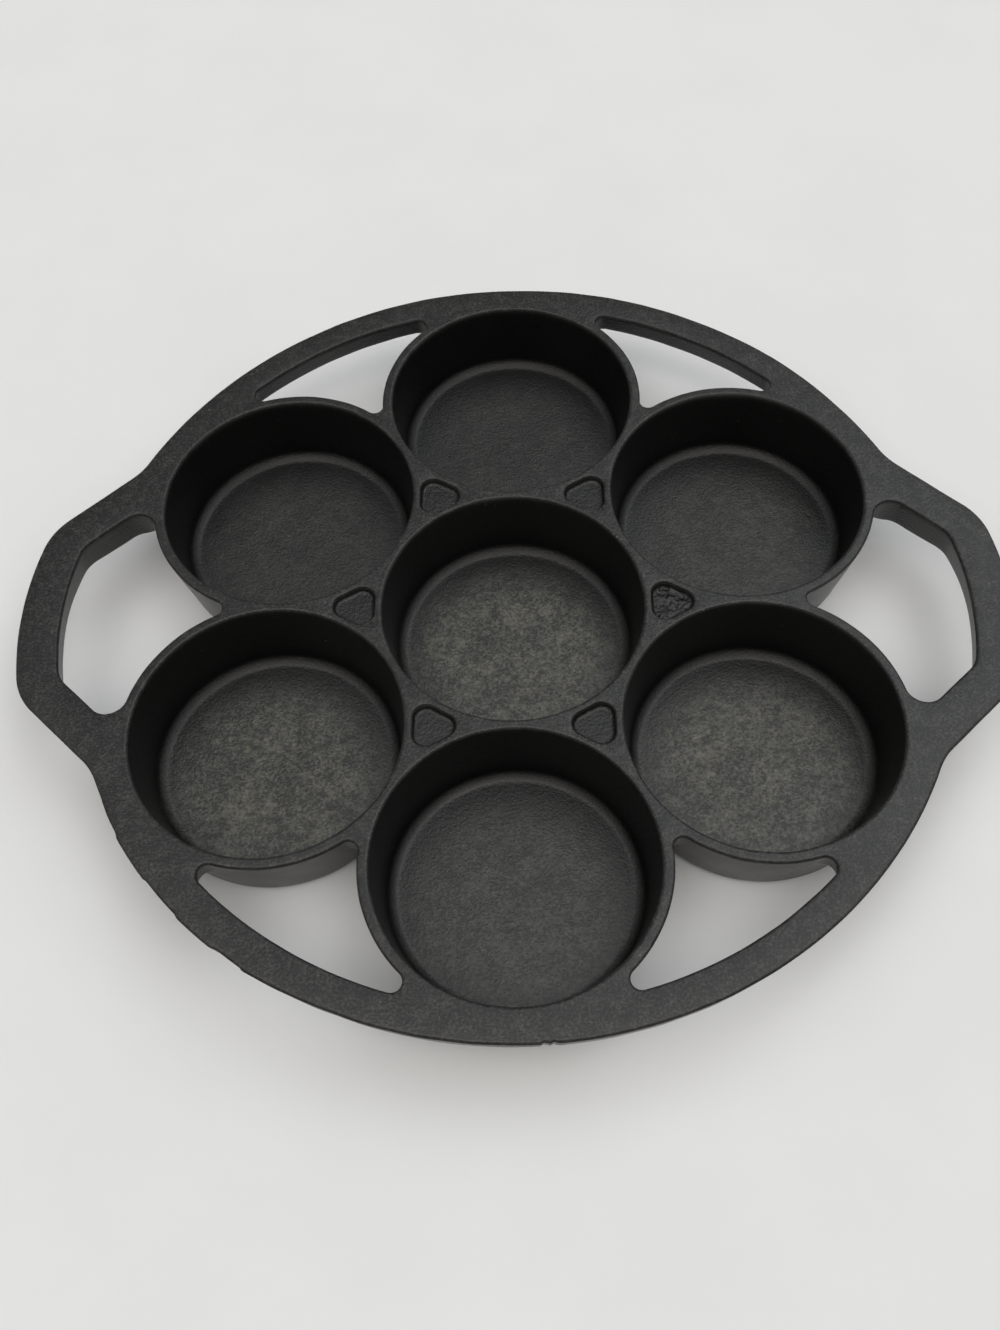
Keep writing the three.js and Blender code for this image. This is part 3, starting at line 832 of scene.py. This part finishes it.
def remap(tree, value, low, high, to_low, to_high):
    """A value from low to high becomes one from to_low to to_high, and stops there."""
    change = tree.nodes.new("ShaderNodeMapRange")
    for name, number in (("From Min", low), ("From Max", high), ("To Min", to_low), ("To Max", to_high)):
        change.inputs[name].default_value = number
    tree.links.new(value, change.inputs["Value"])
    return change.outputs["Result"]


def blend(tree, share, first, second):
    """One colour where share is 0, the other where it is 1; a colour may come from another node."""
    mix = tree.nodes.new("ShaderNodeMix")
    mix.data_type = "RGBA"
    tree.links.new(share, mix.inputs["Factor"])
    for number, colour in zip(COLOUR_SOCKETS, (first, second)):
        if isinstance(colour, tuple):
            mix.inputs[number].default_value = (*colour, 1)
        else:
            tree.links.new(colour, mix.inputs[number])
    return mix.outputs[COLOUR_RESULT]


def times(tree, first, second):
    """The product of two values."""
    product = tree.nodes.new("ShaderNodeMath")
    product.operation = "MULTIPLY"
    tree.links.new(first, product.inputs[0])
    tree.links.new(second, product.inputs[1])
    return product.outputs[0]


def total(tree, first, second):
    """The sum of two values."""
    added = tree.nodes.new("ShaderNodeMath")
    tree.links.new(first, added.inputs[0])
    tree.links.new(second, added.inputs[1])
    return added.outputs[0]


def raised(tree, shader, height, distance):
    """The shader's surface raised by a height from 0 to 1 that stands for the given distance."""
    bump = tree.nodes.new("ShaderNodeBump")
    bump.inputs["Strength"].default_value = 1
    bump.inputs["Distance"].default_value = distance
    tree.links.new(height, bump.inputs["Height"])
    tree.links.new(bump.outputs["Normal"], shader.inputs["Normal"])


# %% [markdown]
# ## Seasoned iron
#
# Seasoning is burnt-on oil, a thin black skin that follows every grain of the sand mould. Black iron has
# hardly any colour of its own: nearly all that is seen of it is reflected room, so grain and roughness
# carry the look. Tops are rubbed a little grey. On the floors of the cups crumbs and fat have left an
# olive crust in specks and patches. Along the edges and in the corner between floor and wall the oil lies
# thick and dull, and in places an edge is worn. Noise of four sizes, from sand grain to cloud, gives it.

# %% Seasoned iron
BLACK_SKIN = (0.0010, 0.0010, 0.0012)
GREY_SKIN = (0.040, 0.039, 0.034)
FLECK = (0.17, 0.17, 0.15)
WORN_EDGE = (0.016, 0.016, 0.016)
CRUST_DARK = (0.012, 0.012, 0.009)
CRUST_LIGHT = (0.102, 0.100, 0.080)
SAND_GRAIN = 0.9 * MM
GRAIN_HEIGHT = 0.31 * MM
CLUSTER = 3.2 * MM
PATCH = 10 * MM
CLOUD = 22 * MM
CLUSTER_ADDS, PATCH_ADDS = (0.25, 0.75), (-0.06, 0.06)
RUBBED, CRUSTED, FLECKED, WORN = (0.95, 1.25), (0.9, 1.22), (1.26, 1.36), (0.5, 0.65)
MIDDLE = (0.3, 0.7)
EDGE_FROM, EDGE_TO = (0.05, 0.3), (0.75, 0.98)
SATIN = (0.27, 0.36)
EDGE_DULL, CORNER_DULL = 0.55, 0.24
TOP_GRAIN = 0.58


def point_value(tree, name):
    """The value that a mesh carries at its points under this name."""
    shade = tree.nodes.new("ShaderNodeAttribute")
    shade.attribute_name = name
    return shade.outputs["Fac"]


def seasoned_iron():
    """Specks are grain + clusters and grey the top; mottle is specks + patches, for crust and flecks."""
    material, tree, shader, where = new_material("seasoned_iron")
    grain = noise(tree, where, SAND_GRAIN, detail=3, rough=0.7)
    cluster = noise(tree, where, CLUSTER)
    cloud = noise(tree, where, CLOUD)
    floor, sandy, corner, top = (point_value(tree, name) for name in ("floor", "sandy", "corner", "top"))
    patch = noise(tree, where, PATCH, detail=2)
    specks = total(tree, grain, remap(tree, cluster, 0, 1, *CLUSTER_ADDS))
    mottle = total(tree, specks, remap(tree, patch, *MIDDLE, *PATCH_ADDS))
    rubbed = times(tree, top, remap(tree, specks, *RUBBED, 0, 1))
    skin = blend(tree, rubbed, BLACK_SKIN, GREY_SKIN)
    crust = blend(tree, remap(tree, mottle, *CRUSTED, 0, 1), CRUST_DARK, CRUST_LIGHT)
    # Where the floor value is low, round a floor's edge and most along the far wall, black skin shows: bare
    # iron and painted shade of the far wall.
    flecked = blend(tree, remap(tree, mottle, *FLECKED, 0, 1), blend(tree, floor, skin, crust), FLECK)
    edge = times(tree, remap(tree, top, *EDGE_FROM, 0, 1), remap(tree, top, *EDGE_TO, 1, 0))
    worn = times(tree, edge, remap(tree, cloud, *WORN, 0, 1))
    tree.links.new(blend(tree, worn, flecked, WORN_EDGE), shader.inputs["Base Color"])
    burnt = total(tree, remap(tree, edge, 0, 1, 0, EDGE_DULL), remap(tree, corner, 0, 1, 0, CORNER_DULL))
    dullness = total(tree, remap(tree, cloud, *MIDDLE, *SATIN), burnt)
    tree.links.new(dullness, shader.inputs["Roughness"])
    raised(tree, shader, times(tree, grain, remap(tree, sandy, 0, 1, TOP_GRAIN, 1)), GRAIN_HEIGHT)
    return material


iron = seasoned_iron()
for piece in [*cups.values(), plate]:
    piece.data.materials.append(iron)
print(iron.name, "has", len(iron.node_tree.nodes), "nodes and is on", iron.users, "pieces")

# %% [markdown]
# ## The pieces and the imported model
#
# Each fine piece hides the nodes of the imported model that it stands for, and hangs on the one rigid
# body, so that it moves with it.

# %% Tie the pieces to the imported model
RIMS = ("back_right_rim", "back_left_rim", "front_left_rim", "front_right_rim")
HANDLES = ("left_handle", "right_handle")

for node, piece in cups.items():
    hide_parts(node)
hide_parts(*WEBS, *RIMS, *HANDLES)
for piece in [*cups.values(), plate]:
    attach(piece, "root")
print(len(cups) + 1, "pieces stand for", len(cups) + len(WEBS + RIMS + HANDLES), "nodes")

# %% [markdown]
# ## The table
#
# The pan stands on a pale matt sheet. One large square is enough. A faint cloudy tone and a trace of
# fibre keep it from looking like plain grey, and it takes the pan's soft shadow.

# %% Table
TABLE_HALF = 3.0
TABLE_GREY = (0.696, 0.703, 0.711)
TABLE_LIGHT = (0.714, 0.721, 0.731)
TABLE_CLOUD, CLOUD_MIDDLE = 60 * MM, (0.35, 0.65)
TABLE_DULLNESS = 0.8
FIBRE, FIBRE_HEIGHT = 0.6 * MM, 0.03 * MM

table_mesh = bpy.data.meshes.new("table")
corners = [(-TABLE_HALF, -TABLE_HALF, 0), (TABLE_HALF, -TABLE_HALF, 0), (TABLE_HALF, TABLE_HALF, 0)]
table_mesh.from_pydata([*corners, (-TABLE_HALF, TABLE_HALF, 0)], [], [(0, 1, 2, 3)])
table = bpy.data.objects.new("table", table_mesh)
bpy.context.scene.collection.objects.link(table)


def table_paper():
    """Matt paper: a faint cloudy tone, and fibres as a very low bump."""
    material, tree, shader, where = new_material("table_paper")
    tone = remap(tree, noise(tree, where, TABLE_CLOUD), *CLOUD_MIDDLE, 0, 1)
    tree.links.new(blend(tree, tone, TABLE_GREY, TABLE_LIGHT), shader.inputs["Base Color"])
    shader.inputs["Roughness"].default_value = TABLE_DULLNESS
    raised(tree, shader, noise(tree, where, FIBRE), FIBRE_HEIGHT)
    return material


table.data.materials.append(table_paper())
print("table", 2 * TABLE_HALF, "m wide")

# %% [markdown]
# ## The room
#
# Black iron mirrors the room, so the room has to be right. Lamp objects would do, but a world painted by
# direction is softer and has no edges. It holds windows high up behind the pan, the brightest at the
# right, a lamp high up at each front corner, a faint patch overhead, and pale walls that glow up to some
# height and fill the shadows under the plate. Straight in front, where the camera stands, it is dark.

# %% Room
WINDOWS = ((90, 62, 0.62), (40, 54, 1.85), (150, 60, 0.66))
LAMPS = ((318, 62, 2.6), (222, 62, 2.6), (0, 90, 0.1))
HALF_ANGLE = 28
FULL_SHARE = 0.4
DAYLIGHT = (0.975, 1.0, 1.035, 1)
LAMPLIGHT = (1.03, 1.0, 0.95, 1)
WALL_GLOW = 0.62
WALL_FADE = [math.sin(math.radians(elevation)) for elevation in (12, 35)]


def patch_of_light(tree, way, heading, elevation, strength):
    """Strength out to FULL_SHARE of HALF_ANGLE from the patch's middle, falling to 0 at HALF_ANGLE."""
    nearness = tree.nodes.new("ShaderNodeVectorMath")
    nearness.operation = "DOT_PRODUCT"
    level_way = ray(heading) * math.cos(math.radians(elevation))
    nearness.inputs[1].default_value = (level_way.real, level_way.imag, math.sin(math.radians(elevation)))
    tree.links.new(way, nearness.inputs[0])
    border, full = (math.cos(math.radians(share * HALF_ANGLE)) for share in (1, FULL_SHARE))
    return remap(tree, nearness.outputs["Value"], border, full, 0, strength)


def glow(tree, colour, brightness):
    """A background of one colour and of the given brightness."""
    background = tree.nodes.new("ShaderNodeBackground")
    background.inputs["Color"].default_value = colour
    tree.links.new(brightness, background.inputs["Strength"])
    return background.outputs[0]


def soft_room():
    """Daylight from the windows plus lamplight and wall glow; iron and camera see the same room."""
    world = bpy.data.worlds.new("room")
    bpy.context.scene.world = world
    world.use_nodes = True
    tree = world.node_tree
    way = tree.nodes.new("ShaderNodeTexCoord").outputs["Generated"]
    height = tree.nodes.new("ShaderNodeSeparateXYZ")
    tree.links.new(way, height.inputs["Vector"])
    windows = [patch_of_light(tree, way, *place) for place in WINDOWS]
    lamps = [patch_of_light(tree, way, *place) for place in LAMPS]
    lamps.append(remap(tree, height.outputs["Z"], *WALL_FADE, WALL_GLOW, 0))
    daylight = glow(tree, DAYLIGHT, reduce(partial(total, tree), windows))
    lamplight = glow(tree, LAMPLIGHT, reduce(partial(total, tree), lamps))
    both = tree.nodes.new("ShaderNodeAddShader")
    tree.links.new(daylight, both.inputs[0])
    tree.links.new(lamplight, both.inputs[1])
    tree.links.new(both.outputs[0], tree.nodes["World Output"].inputs["Surface"])
    tree.nodes.remove(tree.nodes["Background"])


soft_room()
print("room with", len(WINDOWS), "windows and", len(LAMPS), "lamps")

# %% [markdown]
# ## The camera
#
# The camera stands in front of the pan, looks down at 60 degrees and is tipped about its line of sight by
# three degrees. Its place and lens were found by fitting the round mouths of the cups to the photo.

# %% Camera
CAMERA_PLACE = Vector((0.00491, -0.21697, 0.36652))
CAMERA_AIM = Vector((-0.0041, -0.0227, 0.0297))
CAMERA_ROLL = math.radians(-3.2)
CAMERA_LENS = 34.3

view = bpy.data.cameras.new("photo_view")
view.lens = CAMERA_LENS
camera = bpy.data.objects.new("photo_view", view)
camera.location = CAMERA_PLACE
sight = (CAMERA_AIM - CAMERA_PLACE).to_track_quat("-Z", "Y")
camera.rotation_euler = (sight @ Quaternion((0, 0, 1), CAMERA_ROLL)).to_euler()
bpy.context.scene.collection.objects.link(camera)
bpy.context.scene.camera = camera
bpy.context.scene.view_settings.view_transform = "Standard"
print("camera", round((CAMERA_AIM - CAMERA_PLACE).length, 3), "m from the pan")
